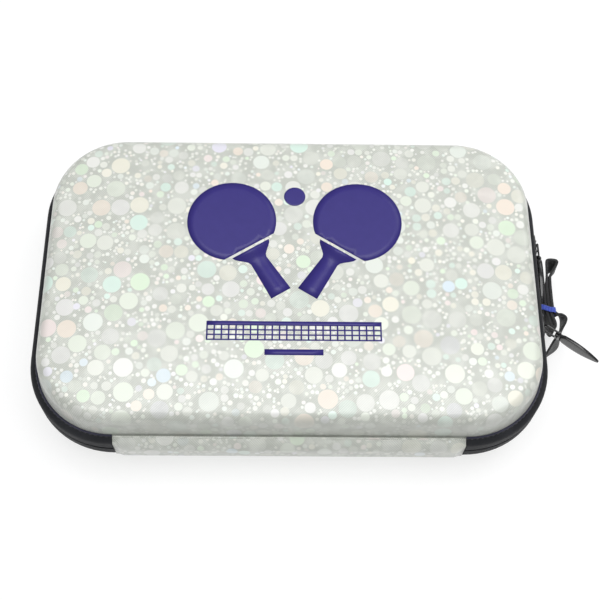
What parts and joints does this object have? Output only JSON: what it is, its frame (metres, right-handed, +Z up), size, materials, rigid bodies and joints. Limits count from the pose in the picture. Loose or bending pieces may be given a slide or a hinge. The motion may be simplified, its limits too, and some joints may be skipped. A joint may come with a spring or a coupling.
{
  "type": "paddle case",
  "caption": "Hard moulded table-tennis paddle case with a zip round three sides, a cloth spine hinge, a wrist strap and a foam insert cut out for a paddle and balls.",
  "frame": {"origin": "middle of the flat underside that the case rests on", "axes": "+X along the case towards the zip sliders and wrist strap, +Y towards the back, away from the cloth spine, +Z up out of the lid"},
  "size_m": [0.3218, 0.193, 0.06],
  "materials": {
    "pearl_cloth": "satin",
    "lining_cloth": "matte",
    "zip_tape": "matte",
    "zip_coil": "satin",
    "mesh_net": "matte",
    "grey_foam": "matte",
    "webbing": "matte",
    "blue_elastic": "satin",
    "black_metal": "gloss"
  },
  "bodies": {
    "base": {"base_shell": "pearl_cloth", "base_lining": "lining_cloth", "base_zip_tape": "zip_tape", "base_zip_coil": "zip_coil", "base_spine_cover": "pearl_cloth", "base_spine_gusset": "lining_cloth", "base_floor_pad": "grey_foam", "paddle_foam": "grey_foam", "handle_strap_loop_end": "webbing", "handle_strap_hook_end": "webbing", "strap_anchor_tab": "webbing"},
    "lid": {"lid_shell": "pearl_cloth", "lid_lining": "lining_cloth", "lid_zip_tape": "zip_tape", "lid_zip_coil": "zip_coil", "lid_spine_cover": "pearl_cloth", "lid_spine_gusset": "lining_cloth", "lid_mesh_pocket": "mesh_net", "lid_pocket_hem": "zip_tape"},
    "slider_back": {"back_slider": "black_metal"},
    "link_back": {"back_pull_link": "black_metal"},
    "tab_back": {"back_pull_tab": "black_metal"},
    "slider_front": {"front_slider": "black_metal"},
    "link_front": {"front_pull_link": "black_metal"},
    "tab_front": {"front_pull_tab": "black_metal"},
    "strap": {"wrist_strap": "webbing", "strap_elastic_band": "blue_elastic"}
  },
  "joints": [
    {"name": "lid_hinge", "type": "hinge", "parent": "base", "child": "lid", "pos_m": [0, -0.0982, 0.03], "axis": [1, 0, 0], "range_deg": [0, 180]},
    {"name": "back_slider_travel", "type": "slide", "parent": "base", "child": "slider_back", "axis": [0, 1, 0], "range_m": [-0.01, 0.007]},
    {"name": "back_link_swing", "type": "hinge", "parent": "slider_back", "child": "link_back", "pos_m": [0.1474, 0.033, 0.03], "axis": [0, 0, 1], "range_deg": [0, 120]},
    {"name": "back_tab_swing", "type": "hinge", "parent": "link_back", "child": "tab_back", "pos_m": [0.1474, 0.024, 0.03], "axis": [0, 0, 1], "range_deg": [0, 50]},
    {"name": "front_slider_travel", "type": "slide", "parent": "base", "child": "slider_front", "axis": [0, 1, 0], "range_m": [-0.019, 0.008]},
    {"name": "front_link_swing", "type": "hinge", "parent": "slider_front", "child": "link_front", "pos_m": [0.1474, -0.02, 0.03], "axis": [0, 0, 1], "range_deg": [-35, 80]},
    {"name": "front_tab_swing", "type": "hinge", "parent": "link_front", "child": "tab_front", "pos_m": [0.15459, -0.02542, 0.03], "axis": [0, 0, 1], "range_deg": [-15, 45]},
    {"name": "strap_swing", "type": "hinge", "parent": "base", "child": "strap", "pos_m": [0.1486, -0.034, 0.03], "axis": [0, 0, -1], "range_deg": [0, 100]}
  ]
}
